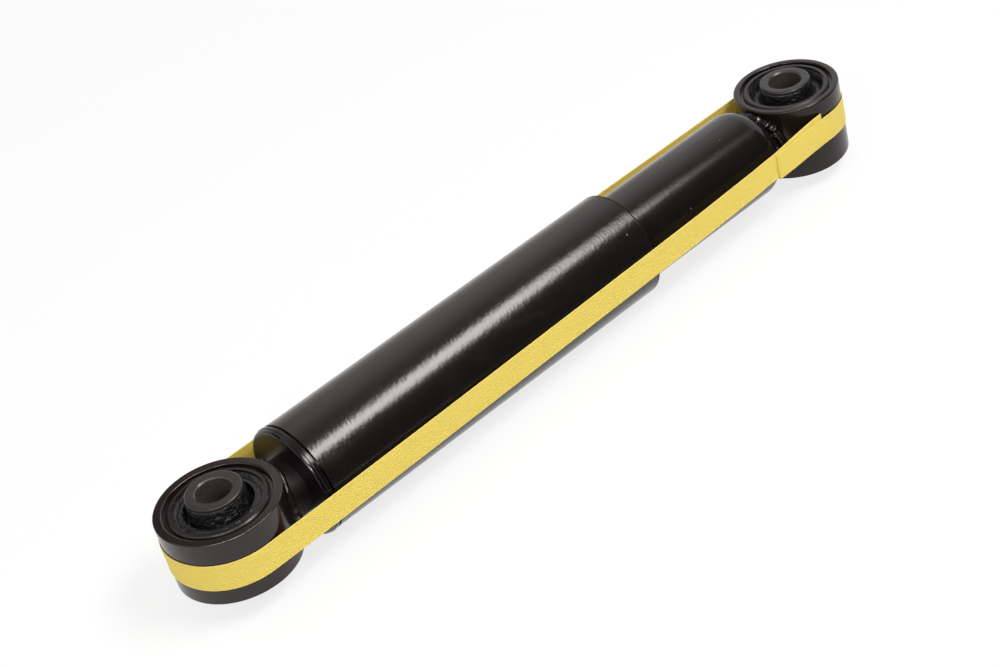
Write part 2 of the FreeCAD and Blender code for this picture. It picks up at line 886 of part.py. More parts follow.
def taut_loop(offset):
    """The closed line of a taut band round the damper, the same on both sides."""
    touched, leans = taut_runs(offset)
    edges = []
    for number, lean in enumerate(leans):
        run = [tangent_point(touched[number], lean), tangent_point(touched[number + 1], lean)]
        edges.append(Part.LineSegment(*run).toShape())
        edges.append(Part.LineSegment(*map(mirrored, run)).toShape())
    for number, roller in enumerate(touched[1:-1], 1):
        turns = [leans[number - 1], (leans[number - 1] + leans[number]) / 2, leans[number]]
        bend = [tangent_point(roller, turn) for turn in turns]
        edges.append(Part.Arc(*bend).toShape())
        edges.append(Part.Arc(*map(mirrored, bend)).toShape())
    for roller, lean, way in ((touched[0], leans[0], -1), (touched[-1], leans[-1], 1)):
        side = tangent_point(roller, lean)
        tip = FreeCAD.Vector(roller[0] + way * roller[2], 0, 0)
        edges.append(Part.Arc(side, tip, mirrored(side)).toShape())
    return Part.Wire(Part.__sortEdges__(edges))


def tilted_layer(extra_pitch):
    """The flat layer that the strap's two edges keep to, tilted along and across the damper."""
    length = size("eye_spacing").value * 4
    width = rod_ring_r.value * 4
    height = size("strap_width").value
    layer = Part.makeBox(length, width, height, FreeCAD.Vector(-length / 2, -width / 2, -height / 2))
    pitch = FreeCAD.Rotation(FreeCAD.Vector(0, 1, 0), size("strap_pitch_angle").value + extra_pitch)
    roll = FreeCAD.Rotation(FreeCAD.Vector(1, 0, 0), -size("strap_roll_angle").value)
    rise = FreeCAD.Vector(0, 0, size("strap_rise").value)
    layer.Placement = FreeCAD.Placement(rise, pitch.multiply(roll))
    return layer


def upright(face):
    """A flat outline raised equally above and below the eyes' middle, taller than the strap."""
    height = size("strap_width").value * 4
    face.translate(FreeCAD.Vector(0, 0, -height / 2))
    return face.extrude(FreeCAD.Vector(0, 0, height))


# Strap: a taut loop round both eyes whose ends lap beside the base eye
gap = size("strap_gap").value
thickness = size("strap_thickness").value
band = Part.Face(taut_loop(gap + thickness)).cut(Part.Face(taut_loop(gap)))
touched, leans = taut_runs(gap + thickness)
along = FreeCAD.Vector(math.cos(leans[0]), math.sin(leans[0]), 0)
outward = FreeCAD.Vector(-math.sin(leans[0]), math.cos(leans[0]), 0)
lap_start = tangent_point(touched[0], leans[0]) + along * size("lap_start").value
lap_end = lap_start + along * size("lap_length").value
sunk = outward * (-thickness / 2)
lap_corners = [lap_start + sunk, lap_end + sunk, lap_end + outward * thickness, lap_start + outward * thickness]
lap = Part.Face(Part.makePolygon(lap_corners + lap_corners[:1]))
loop_solid = upright(band).common(tilted_layer(0))
lap_solid = upright(lap).common(tilted_layer(size("lap_skew_angle").value))
strap = doc.addObject("Part::Feature", "transport_strap")
strap.Label = "transport_strap"
strap.Shape = loop_solid.fuse(lap_solid).removeSplitter()
strap.Placement = FreeCAD.Placement()
pieces.append(strap)

doc.recompute()

for item in doc.Objects:
    if "Invalid" in item.State or "Error" in item.State:
        raise RuntimeError(f"{item.Label} did not build: {item.State}")
for item in pieces:
    shape = item.Shape
    if shape.isNull() or not shape.isValid() or len(shape.Solids) != 1:
        raise RuntimeError(f"{item.Label} is not one sound solid")

os.makedirs("parts", exist_ok=True)
for item in pieces:
    item.Shape.exportStep(f"parts/{item.Label}.step")
    print(f"{item.Label} {item.Shape.Volume / 1000:.2f} cm3")

extension = guide_under.value - size("stop_margin").value - bumper_end.value
print(f"travel from the strapped length {-size('stroke_in').value:.1f} to {extension:.1f} mm")
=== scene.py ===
"""Looks of a strapped shock absorber: finishes, woven strap, weld beads, studio and camera.

Lengths are in metres, in the part's own frame: the origin is the middle of the base eye's bore, +X runs along
the damper to the rod eye, and +Z runs along both bores. The photograph's near side is +Y.
"""

import logging
from dataclasses import dataclass
from enum import Enum
from typing import Any, Mapping, Protocol, Sequence

import bpy
import numpy as np
from mathutils import Matrix, Vector
from numpy.typing import NDArray


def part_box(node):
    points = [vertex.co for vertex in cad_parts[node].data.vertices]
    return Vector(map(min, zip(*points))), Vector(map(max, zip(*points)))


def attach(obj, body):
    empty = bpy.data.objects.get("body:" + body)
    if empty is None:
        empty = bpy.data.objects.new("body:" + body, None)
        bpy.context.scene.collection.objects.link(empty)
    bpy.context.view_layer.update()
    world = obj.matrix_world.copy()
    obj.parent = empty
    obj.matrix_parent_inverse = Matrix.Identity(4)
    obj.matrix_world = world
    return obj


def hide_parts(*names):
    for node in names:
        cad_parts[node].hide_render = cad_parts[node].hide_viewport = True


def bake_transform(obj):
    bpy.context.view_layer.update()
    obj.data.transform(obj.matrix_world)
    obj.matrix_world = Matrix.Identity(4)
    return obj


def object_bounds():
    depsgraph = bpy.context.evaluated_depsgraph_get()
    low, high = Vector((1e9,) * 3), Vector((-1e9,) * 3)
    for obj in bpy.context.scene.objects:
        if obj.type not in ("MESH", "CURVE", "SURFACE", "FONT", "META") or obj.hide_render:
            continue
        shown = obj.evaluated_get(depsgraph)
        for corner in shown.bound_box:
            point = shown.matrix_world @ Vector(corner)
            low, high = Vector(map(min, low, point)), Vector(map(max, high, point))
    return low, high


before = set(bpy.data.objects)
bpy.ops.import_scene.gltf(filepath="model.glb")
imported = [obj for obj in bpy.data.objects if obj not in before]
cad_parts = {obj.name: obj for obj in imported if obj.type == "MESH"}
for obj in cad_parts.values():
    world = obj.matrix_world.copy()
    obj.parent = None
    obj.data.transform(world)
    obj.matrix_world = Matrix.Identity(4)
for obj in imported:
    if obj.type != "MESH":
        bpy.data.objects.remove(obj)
CAD_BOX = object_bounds()

LOG = logging.getLogger("shock_absorber")
WEAVE_MAP = "weave"
TURN = 2 * np.pi

Array = NDArray[np.float64]
Vec = tuple[float, float, float]
Colour = tuple[float, float, float]
Band = tuple[float, float]

BASE_RING_LOW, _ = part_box("base_eye_ring")
ROD_RING_LOW, ROD_RING_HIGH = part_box("rod_eye_ring")
ROD_SLEEVE_LOW, ROD_SLEEVE_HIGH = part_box("rod_bush_inner_sleeve")
COVER_LOW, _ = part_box("dust_cover")

BASE_EYE_X = 0.0
ROD_EYE_X = (ROD_SLEEVE_LOW[0] + ROD_SLEEVE_HIGH[0]) / 2
BASE_RING_RADIUS = BASE_EYE_X - BASE_RING_LOW[0]
ROD_RING_RADIUS = ROD_RING_HIGH[0] - ROD_EYE_X
NECK_RADIUS = 0.0170
NECK_PATCH_INSET = 0.0013
ROD_NECK: Vec = (ROD_RING_LOW[0] + NECK_PATCH_INSET, 0.0, 0.0)
COVER_EDGE: Vec = (COVER_LOW[0], 0.0, 0.0)
PART_MIDDLE: Vec = (0.22, 0, 0)

WHITE: Colour = (1.0, 1.0, 1.0)
WARM: Colour = (1.0, 0.93, 0.90)
EYE_BLACK: Colour = (0.0092, 0.0052, 0.0055)
EYE_TINT: Colour = (1.0, 0.91, 0.905)

# Places along the strap from its inner end, and the height of its middle line there
STRAP_HEIGHTS: Sequence[tuple[float, float]] = (
    (0.000, 0.0075), (0.009, 0.0072), (0.017, 0.0065), (0.028, 0.0054), (0.041, 0.0038), (0.053, 0.0034),
    (0.063, 0.0028), (0.083, 0.0022), (0.113, 0.0013), (0.173, 0.0004), (0.253, -0.0006), (0.333, -0.0016),
    (0.403, -0.0022), (0.438, -0.0021), (0.457, -0.0020), (0.472, -0.0016), (0.486, -0.0008),
    (0.500, -0.0007), (0.510, -0.0006), (0.532, 0.0014), (0.550, 0.0034), (0.562, 0.0037), (0.995, 0.0055),
    (1.020, 0.0040), (1.045, 0.0018), (1.066, 0.0014), (1.080, 0.0028), (1.090, 0.0037), (1.098, 0.0040),
    (1.108, 0.0038), (1.118, 0.0034), (1.125, 0.0030), (1.138, 0.0025), (1.151, 0.0024))


def even(size: float) -> Vec:
    """The same size along each axis."""
    return (size, size, size)


class End(Enum):
    """Ends of the damper, as the names of their pieces begin."""

    BASE = "base"
    ROD = "rod"


class Body(Enum):
    """Moving bodies that new pieces ride on."""

    CYLINDER = "cylinder"
    ROD = "rod"


class Slot(Enum):
    """Material slots of the record."""

    BLACK_PAINT = "black_paint"
    STRAP_WEAVE = "strap_weave"


# Shader expressions


class Term:
    """One output of a shader node, with the arithmetic that the finishes use."""

    def __init__(self, shader: "Shader", node: bpy.types.Node, output: int | str = 0) -> None:
        """Keeps the tree, the node and which of the node's outputs this term stands for."""
        self.shader, self.node, self.key = shader, node, output

    @property
    def socket(self) -> bpy.types.NodeSocket:
        """The output socket to link from."""
        return self.node.outputs[self.key]

    def output(self, key: int | str) -> "Term":
        """Another output of the same node."""
        return Term(self.shader, self.node, key)

    def _math(self, operation: str, *terms: "Number") -> "Term":
        """A Math node on this and other values."""
        return self.shader.node("Math", {"operation": operation}, dict(enumerate(terms)))

    def __add__(self, other: "Number") -> "Term":
        """Sum."""
        return self._math("ADD", self, other)

    __radd__ = __add__

    def __sub__(self, other: "Number") -> "Term":
        """Difference."""
        return self._math("SUBTRACT", self, other)

    def __rsub__(self, other: "Number") -> "Term":
        """Difference with this term on the right."""
        return self._math("SUBTRACT", other, self)

    def __mul__(self, other: "Number") -> "Term":
        """Product."""
        return self._math("MULTIPLY", self, other)

    __rmul__ = __mul__

    def __truediv__(self, other: "Number") -> "Term":
        """Quotient."""
        return self._math("DIVIDE", self, other)

    def __rtruediv__(self, other: "Number") -> "Term":
        """Quotient with this term below the line."""
        return self._math("DIVIDE", other, self)

    def sine(self) -> "Term":
        """Sine of an angle in radians."""
        return self._math("SINE", self)

    def floor(self) -> "Term":
        """Whole number below."""
        return self._math("FLOOR", self)

    def size(self) -> "Term":
        """Value without its sign."""
        return self._math("ABSOLUTE", self)

    def larger(self, other: "Number") -> "Term":
        """The larger of two values."""
        return self._math("MAXIMUM", self, other)

    def band(self, low: float, high: float) -> "Term":
        """Smooth step from 0 at low to 1 at high; high may be below low.

        Args:
            low: Value that gives 0.
            high: Value that gives 1.

        Returns:
            A value from 0 to 1.
        """
        sockets = {"Value": self, "From Min": min(low, high), "From Max": max(low, high)}
        step = self.shader.node("MapRange", {"interpolation_type": "SMOOTHSTEP"}, sockets)
        return step if high > low else 1 - step


Number = Term | float


class Shader:
    """Node tree of a material or world, written as expressions."""

    MIX_COLOURS = (6, 7)
    MIX_RESULT = 2
    SPECK_CORE = 0.4
    SPECK_PICK = 0.02

    def __init__(self, tree: bpy.types.NodeTree) -> None:
        """Takes over a tree and empties it."""
        self.tree = tree
        tree.nodes.clear()

    def node(self, kind: str, settings: Mapping[str, Any] | None = None,
             sockets: Mapping[int | str, Any] | None = None) -> Term:
        """Adds one node.

        Args:
            kind: Type name of the node, without its common beginning.
            settings: Properties of the node, set before its sockets.
            sockets: Values or terms for its inputs, by name or number.

        Returns:
            The node's first output.
        """
        made = self.tree.nodes.new("ShaderNode" + kind)
        for key, value in (settings or {}).items():
            setattr(made, key, value)
        for key, value in (sockets or {}).items():
            if isinstance(value, Term):
                self.tree.links.new(value.socket, made.inputs[key])
            else:
                made.inputs[key].default_value = value
        return Term(self, made)

    def vector(self, operation: str, first: Term, second: Vec | None = None) -> Term:
        """A Vector Math node on a vector and, where the operation has one, a constant vector."""
        sockets = {0: first} if second is None else {0: first, 1: second}
        return self.node("VectorMath", {"operation": operation}, sockets)

    def place(self, centre: Vec = (0, 0, 0), pitch: Vec = (1, 1, 1)) -> Term:
        """Object coordinates about a centre, divided by a pitch along each axis.

        Args:
            centre: Point that becomes the pattern's origin.
            pitch: Length along each axis that becomes one unit.

        Returns:
            The vector.
        """
        here = self.node("TexCoord").output("Object")
        return self.vector("DIVIDE", self.vector("SUBTRACT", here, centre), pitch)

    def parts(self, vector: Term) -> tuple[Term, Term, Term]:
        """The three components of a vector."""
        split = self.node("SeparateXYZ", None, {0: vector})
        return split, split.output(1), split.output(2)

    def radius(self, centre: Vec, across: Vec) -> Term:
        """Distance from an axis, a plane or a point.

        Args:
            centre: A point of it.
            across: 1 for each frame axis that the distance is measured along, 0 for the others.

        Returns:
            The distance in metres.
        """
        flat = self.vector("MULTIPLY", self.place(centre), across)
        return self.vector("LENGTH", flat).output("Value")

    def noise(self, vector: Term, detail: float = 2.0, roughness: float = 0.5) -> Term:
        """Soft noise of one unit's size, from 0 to 1."""
        return self.node("TexNoise", None,
                         {"Vector": vector, "Scale": 1.0, "Detail": detail, "Roughness": roughness})

    def specks(self, vector: Term, radius: float, share: float) -> Term:
        """Round specks, at most one in each unit cell.

        Args:
            vector: Coordinates in units of the cell.
            radius: Size of a speck in cells.
            share: Share of the cells that hold one.

        Returns:
            1 in the middle of a speck, 0 outside.
        """
        cell = self.node("TexVoronoi", {"feature": "F1"}, {"Vector": vector, "Scale": 1.0})
        pick = self.node("SeparateColor", None, {0: cell.output("Color")})
        disc = cell.output("Distance").band(radius, self.SPECK_CORE * radius)
        return disc * pick.band(1 - share, 1 - share + self.SPECK_PICK)

    def mix(self, share: Number, first: Any, second: Any) -> Term:
        """Colour between two colours.

        Args:
            share: 0 gives the first, 1 the second.
            first: Colour or term.
            second: Colour or term.

        Returns:
            The mixed colour.
        """
        colours = (c if isinstance(c, Term) else (*c, 1.0) for c in (first, second))
        sockets = {0: share, **dict(zip(self.MIX_COLOURS, colours))}
        return self.node("Mix", {"data_type": "RGBA"}, sockets).output(self.MIX_RESULT)

    def bump(self, height: Term) -> Term:
        """Normal of a surface raised by a height in metres."""
        return self.node("Bump", None, {"Strength": 1.0, "Distance": 1.0, "Height": height})

    def glow(self, colour: Any) -> Term:
        """Light of this colour, a colour with alpha or a term."""
        return self.node("Emission", None, {"Color": colour, "Strength": 1.0})

    def blend(self, share: Number, first: Term, second: Term) -> Term:
        """Shading between two shadings, the first at 0."""
        return self.node("MixShader", None, {0: share, 1: first, 2: second})

    def coated(self, sockets: Mapping[str, Any]) -> Term:
        """A Principled surface with these sockets."""
        values = {k: (*v, 1.0) if isinstance(v, tuple) else v for k, v in sockets.items()}
        return self.node("BsdfPrincipled", None, values)

    def surface(self, sockets: Mapping[str, Any]) -> None:
        """Ends a material in a Principled surface with these sockets."""
        self.close(self.coated(sockets))

    def close(self, shading: Term) -> None:
        """Ends a material in this shading."""
        self.node("OutputMaterial", None, {"Surface": shading})


def new_shader(name: str) -> tuple[bpy.types.Material, Shader]:
    """Makes a material.

    Args:
        name: Name of the material.

    Returns:
        The material and its empty tree.
    """
    material = bpy.data.materials.new(name)
    material.use_nodes = True
    return material, Shader(material.node_tree)


# Finishes


class Finish(Protocol):
    """Anything with a name that gives a material."""

    @property
    def name(self) -> str:
        """Name of the finish."""

    def material(self) -> bpy.types.Material:
        """The finish as a material."""


@dataclass(frozen=True)
class BlackPaint:
    """Satin black spray paint with orange peel, nibs (some dusty and pale, partly painted glints), thin
    places, and a dull patch on some pieces that is rougher and may carry painted shade.
    """

    name: str
    colour: Colour = (0.0066, 0.0057, 0.0052)
    thin_colour: Colour = (0.020, 0.018, 0.016)
    thin_band: Band = (0.52, 0.80)
    thin_share: float = 0.35
    cloud_pitch: Vec = (0.021, 0.013, 0.013)
    roughness: float = 0.18
    roughness_swing: float = 0.05
    peel_roughness: float = 0.03
    peel_pitch: Vec = (0.0013, 0.0026, 0.0026)
    peel_height: float = 0.000030
    grain_pitch: float = 0.0006
    grain_height: float = 0.000004
    nib_spacing: float = 0.032
    nib_share: float = 0.45
    nib_radius: float = 0.00055
    nib_height: float = 0.00025
    nib_thinness: float = 0.5
    # Share and colour of pale specks on the nibs: partly dusty paint, partly painted glints
    dust_and_glint: float = 0.0
    dust_and_glint_colour: Colour = (0.30, 0.29, 0.28)
    dull_centre: Vec = (0, 0, 0)
    dull_axes: Vec = (0, 1, 1)
    dull_radius: float = 0.0
    dull_edge: float = 0.0006
    dull_roughness: float = 0.30
    # Share of the dull patch turned dark metallic, which paints shade there
    dull_painted_shade: float = 0.0
    ior: float = 1.45
    gloss_tint: Colour = (1.0, 0.955, 0.945)

    def material(self) -> bpy.types.Material:
        """Noise at two sizes raises the surface, nibs stand on it, and slow noise changes colour and gloss.

        Within the dull radius, measured along the dull axes from the dull centre, the paint is rougher, and
        it can also be turned dark metallic there, which paints shade onto the patch.

        Returns:
            The paint.
        """
        material, shader = new_shader(self.name)
        peel = shader.noise(shader.place(pitch=self.peel_pitch))
        grain = shader.noise(shader.place(pitch=even(self.grain_pitch)), detail=1.0)
        cloud = shader.noise(shader.place(pitch=self.cloud_pitch), detail=4.0, roughness=0.6)
        cells = shader.place(pitch=even(self.nib_spacing))
        nibs = shader.specks(cells, self.nib_radius / self.nib_spacing, self.nib_share)
        height = peel * self.peel_height + grain * self.grain_height + nibs * self.nib_height
        thin = cloud.band(*self.thin_band) * self.thin_share + nibs * self.nib_thinness
        gloss: Number = self.roughness
        shade_metallic: Number = 0.0
        if self.dull_radius:
            away = shader.radius(self.dull_centre, self.dull_axes)
            dull = away.band(self.dull_radius, self.dull_radius - self.dull_edge)
            gloss = dull * (self.dull_roughness - self.roughness) + self.roughness
            # The dark metallic share darkens the patch as painted shade
            shade_metallic = dull * self.dull_painted_shade if self.dull_painted_shade else 0.0
        colour = shader.mix(thin, self.colour, self.thin_colour)
        # Pale specks on the nibs, partly a painted glint
        if self.dust_and_glint:
            colour = shader.mix(nibs * self.dust_and_glint, colour, self.dust_and_glint_colour)
        shader.surface({
            "Base Color": colour,
            "Roughness": (cloud - 0.5) * self.roughness_swing + peel * self.peel_roughness + gloss,
            "Metallic": shade_metallic,
            "IOR": self.ior,
            "Specular Tint": self.gloss_tint,
            "Normal": shader.bump(height),
        })
        return material


@dataclass(frozen=True)
class TurnedSleeve:
    """Phosphated bolt sleeve: dark turned faces and a browner, smoother bore."""

    name: str
    centre: Vec
    face_colour: Colour = (0.026, 0.023, 0.022)
    bore_colour: Colour = (0.068, 0.060, 0.055)
    bore_radius: float = 0.0100
    bore_edge: Band = (0.0009, 0.0002)
    stain_colour: Colour = (0.020, 0.018, 0.017)
    stain_pitch: Vec = (0.006, 0.006, 0.004)
    stain_band: Band = (0.45, 0.75)
    stain_share: float = 0.5
    groove_pitch: float = 0.00042
    groove_depth: float = 0.000006
    grit_pitch: float = 0.0005
    grit_height: float = 0.000008
    metallic: float = 0.20
    roughness: float = 0.30
    roughness_swing: float = 0.18
    ior: float = 1.42

    def material(self) -> bpy.types.Material:
        """Rings of the radius mark the faces, and within a little of the bore's radius its own colour shows.

        Returns:
            The sleeve's steel.
        """
        material, shader = new_shader(self.name)
        radius = shader.radius(self.centre, (1, 1, 0))
        bore = radius.band(*(self.bore_radius + edge for edge in self.bore_edge))
        rings = (radius * (TURN / self.groove_pitch)).sine()
        stain = shader.noise(shader.place(pitch=self.stain_pitch), detail=4.0, roughness=0.6)
        grit = shader.noise(shader.place(pitch=even(self.grit_pitch)))
        colour = shader.mix(bore, self.face_colour, self.bore_colour)
        stained = stain.band(*self.stain_band) * self.stain_share
        shader.surface({
            "Base Color": shader.mix(stained, colour, self.stain_colour),
            "Metallic": self.metallic,
            "IOR": self.ior,
            "Roughness": self.roughness + (stain - 0.5) * self.roughness_swing,
            "Normal": shader.bump(rings * (1 - bore) * self.groove_depth + grit * self.grit_height),
        })
        return material


@dataclass(frozen=True)
class MouldedRubber:
    """Black moulded rubber with a dull bloom, torn flash and faint mould lines."""

    name: str
    centre: Vec = (0, 0, 0)
    colour: Colour = (0.0062, 0.0060, 0.0060)
    bloom_colour: Colour = (0.0105, 0.0100, 0.0096)
    bloom_pitch: float = 0.008
    bloom_band: Band = (0.45, 0.75)
    roughness: float = 0.25
    roughness_swing: float = 0.25
    grit_pitch: float = 0.0007
    grit_height: float = 0.00003
    line_pitch: float = 0.0021
    line_height: float = 0.00001
    flash_pitch: Vec = (0.0030, 0.0030, 0.0012)
    flash_band: Band = (0.50, 0.75)
    flash_height: float = 0.00045
    ior: float = 1.45

    def material(self) -> bpy.types.Material:
        """Slow noise carries the bloom, coarse noise the flash, and rings about the bore are mould lines.

        Returns:
            The rubber.
        """
        material, shader = new_shader(self.name)
        bloom = shader.noise(shader.place(pitch=even(self.bloom_pitch)), detail=5.0, roughness=0.65)
        grit = shader.noise(shader.place(pitch=even(self.grit_pitch)), detail=3.0)
        lines = (shader.radius(self.centre, (1, 1, 0)) * (TURN / self.line_pitch)).sine()
        tears = shader.noise(shader.place(pitch=self.flash_pitch), detail=3.0, roughness=0.55)
        flash = tears.band(*self.flash_band)
        height = grit * self.grit_height + lines * self.line_height + flash * self.flash_height
        shader.surface({
            "Base Color": shader.mix(bloom.band(*self.bloom_band), self.colour, self.bloom_colour),
            "Roughness": self.roughness + (bloom - 0.5) * self.roughness_swing,
            "IOR": self.ior,
            "Normal": shader.bump(height),
        })
        return material


@dataclass(frozen=True)
class WorkedMetal:
    """Bare inner metal with machining marks along one direction and an oil film."""

    name: str
    colour: Colour
    metallic: float = 1.0
    roughness: float = 0.3
    mark_pitch: Vec = (0.0004, 0.01, 0.01)
    mark_depth: float = 0.000004
    mark_roughness: float = 0.08
    film_pitch: float = 0.012
    film_band: Band = (0.4, 0.8)
    film_shade: float = 0.7
    film_roughness: float = 0.12

    def material(self) -> bpy.types.Material:
        """Noise stretched across the marks raises them, and slow noise changes gloss and colour as oil does.

        Returns:
            The metal.
        """
        material, shader = new_shader(self.name)
        marks = shader.noise(shader.place(pitch=self.mark_pitch), detail=3.0)
        film = shader.noise(shader.place(pitch=even(self.film_pitch)), detail=3.0)
        oiled = tuple(self.film_shade * c for c in self.colour)
        swing = (film - 0.5) * self.film_roughness + (marks - 0.5) * self.mark_roughness
        shader.surface({
            "Base Color": shader.mix(film.band(*self.film_band), self.colour, oiled),
            "Metallic": self.metallic,
            "Roughness": self.roughness + swing,
            "Normal": shader.bump(marks * self.mark_depth),
        })
        return material


@dataclass(frozen=True)
class RibbedWeave:
    """Yellow polyester weave with lengthwise ribs, read from the strap's own map.

    The map's first number runs across the strap from 0 to 1, the second along it in metres.
    """

    name: str
    ribs: int
    colour: Colour = (0.885, 0.715, 0.140)
    # Colour in the grooves between ribs: painted shade
    groove_shade_colour: Colour = (0.520, 0.360, 0.035)
    groove_band: Band = (0.75, 0.05)
    groove_shade_share: float = 0.45
    groove_roughness: float = 0.15
    # Lighter colour along both edges: a painted highlight where the round edges catch the light
    edge_highlight_colour: Colour = (0.900, 0.780, 0.330)
    edge_band: Band = (0.465, 0.495)
    edge_highlight_share: float = 0.15
    through_colour: Colour = (0.900, 0.720, 0.160)
    through_share: float = 0.22
    stitch_pitch: float = 0.0011
    stitch_height: float = 0.00002
    # How much the dips between floats are darkened: painted shade
    stitch_shade_share: float = 0.06
    rib_height: float = 0.00006
    yarns_across: float = 40.0
    yarn_length: float = 0.030
    yarn_share: float = 0.35
    soil_across: float = 1.5
    soil_length: float = 0.020
    soil_band: Band = (0.5, 0.9)
    soil_share: float = 0.12
    roughness: float = 0.62
    ior: float = 1.45
    sheen: float = 0.10
    sheen_roughness: float = 0.4

    def material(self) -> bpy.types.Material:
        """Grooves between ribs and dips between floats are darkened with painted shade, floats alternate from
        rib to rib, and yarns differ as they run.

        Returns:
            The weave.
        """
        material, shader = new_shader(self.name)
        across, along, _ = shader.parts(shader.node("UVMap", {"uv_map": WEAVE_MAP}))

        def streaks(count: float, length: float, detail: float) -> Term:
            """Noise with that many streaks across the strap, each about that long."""
            spread = shader.node("CombineXYZ", None, {0: across * count, 1: along / length})
            return shader.noise(spread, detail, 0.6)

        row = across * self.ribs
        rib = (row * np.pi).sine().size()
        float_turn = (along / self.stitch_pitch + row.floor() * 0.5) * TURN
        stitch = float_turn.sine() * 0.5 + 0.5
        yarn = streaks(self.yarns_across, self.yarn_length, 3.0)
        soil = streaks(self.soil_across, self.soil_length, 4.0)
        edge = (across - 0.5).size().band(*self.edge_band)
        groove = rib.band(*self.groove_band) * (1 - edge)
        worn = (yarn - 0.5) * self.yarn_share + soil.band(*self.soil_band) * self.soil_share
        # Grooves and the dips between floats carry painted shade; yarn streaks and soil are the weave's own
        # tone
        shade = groove * self.groove_shade_share + (1 - stitch) * self.stitch_shade_share + worn
        cloth = shader.mix(shade, self.colour, self.groove_shade_colour)
        front = shader.coated({
            # Both edges are lightened with a painted highlight
            "Base Color": shader.mix(edge * self.edge_highlight_share, cloth, self.edge_highlight_colour),
            "Roughness": self.roughness + groove * self.groove_roughness,
            "IOR": self.ior,
            "Sheen Weight": self.sheen,
            "Sheen Roughness": self.sheen_roughness,
            "Normal": shader.bump(rib * self.rib_height + stitch * self.stitch_height),
        })
        back = shader.node("BsdfTranslucent", None, {"Color": (*self.through_colour, 1.0)})
        shader.close(shader.blend(self.through_share, front, back))
        return material


# Surfaces


@dataclass
class Surface:
    """A grid of points, open or wrapped in each direction.

    Rows follow the first parameter and columns the second. Faces look to the side given by the
    cross product of the row direction and the column direction.
    """

    points: Array
    wrap_rows: bool = False
    wrap_columns: bool = False

    def faces(self) -> NDArray[np.int64]:
        """Joins neighbouring points, also across the wrapped seams.

        Returns:
            Corner numbers of the quads, one row each.
        """
        rows, columns = self.points.shape[:2]
        i = np.arange(rows if self.wrap_rows else rows - 1)[:, None]
        j = np.arange(columns if self.wrap_columns else columns - 1)[None, :]
        low, high = i * columns, (i + 1) % rows * columns
        left, right = j, (j + 1) % columns
        return np.stack([low + left, high + left, high + right, low + right], -1).reshape(-1, 4)

    def end_faces(self) -> list[list[int]]:
        """Flat ends of a tube whose columns wrap and whose rows do not."""
        rows, columns = self.points.shape[:2]
        return [list(range(columns)), list(range(rows * columns - 1, (rows - 1) * columns - 1, -1))]

    def mesh(self, name: str, closed_ends: bool = False) -> bpy.types.Mesh:
        """Puts the grid into a smooth mesh.

        Args:
            name: Name of the mesh.
            closed_ends: Whether the open ends of a tube get faces.

        Returns:
            The mesh.
        """
        mesh = bpy.data.meshes.new(name)
        faces = self.faces().tolist() + (self.end_faces() if closed_ends else [])
        mesh.from_pydata(self.points.reshape(-1, 3).tolist(), [], faces)
        mesh.polygons.foreach_set("use_smooth", np.ones(len(mesh.polygons), bool))
        mesh.update()
        return mesh


def show(data: bpy.types.ID, material: bpy.types.Material | None = None) -> bpy.types.Object:
    """Puts a mesh, lamp or camera into the scene at the origin, under its own name.

    Args:
        data: What the object holds.
        material: Material for the whole mesh.

    Returns:
        The new object.
    """
    piece = bpy.data.objects.new(data.name, data)
    bpy.context.scene.collection.objects.link(piece)
    if material:
        data.materials.append(material)
    return piece


def posed(place: Vec | Vector, right: Vec | Vector, up: Vec | Vector, back: Vec | Vector) -> Matrix:
    """World matrix of what lies at a place and has these directions as its own X, Y and Z."""
    return Matrix.Translation(place) @ Matrix((right, up, back)).transposed().to_4x4()


def dress(nodes: Mapping[str, Finish]) -> None:
    """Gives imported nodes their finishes.

    Args:
        nodes: Finish of each node by the node's name.
    """
    made: dict[Finish, bpy.types.Material] = {}
    for name, finish in nodes.items():
        if finish not in made:
            made[finish] = finish.material()
        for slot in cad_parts[name].material_slots:
            slot.material = made[finish]
        LOG.info("dressed %s in %s", name, finish.name)


def turned_by(angle: Array) -> Array:
    """Angles brought to half a turn either way."""
    return (angle + np.pi) % TURN - np.pi


def wobble(angle: Array, seed: int, highest: int = 9) -> Array:
    """Smooth seeded unevenness round a closed path: a sum of a few sines of falling height.

    Args:
        angle: Place round the path in radians.
        seed: Which unevenness.
        highest: Highest number of waves round the path.

    Returns:
        Values of about -1 to 1.
    """
    chance = np.random.default_rng(seed)
    waves = np.arange(1, highest + 1)
    phases = chance.uniform(0, TURN, highest)
    heights = chance.uniform(0.4, 1.0, highest) / np.sqrt(waves)
    return (np.sin(angle[..., None] * waves + phases) * heights).sum(-1) / heights.sum() * 2


# Sub-assemblies


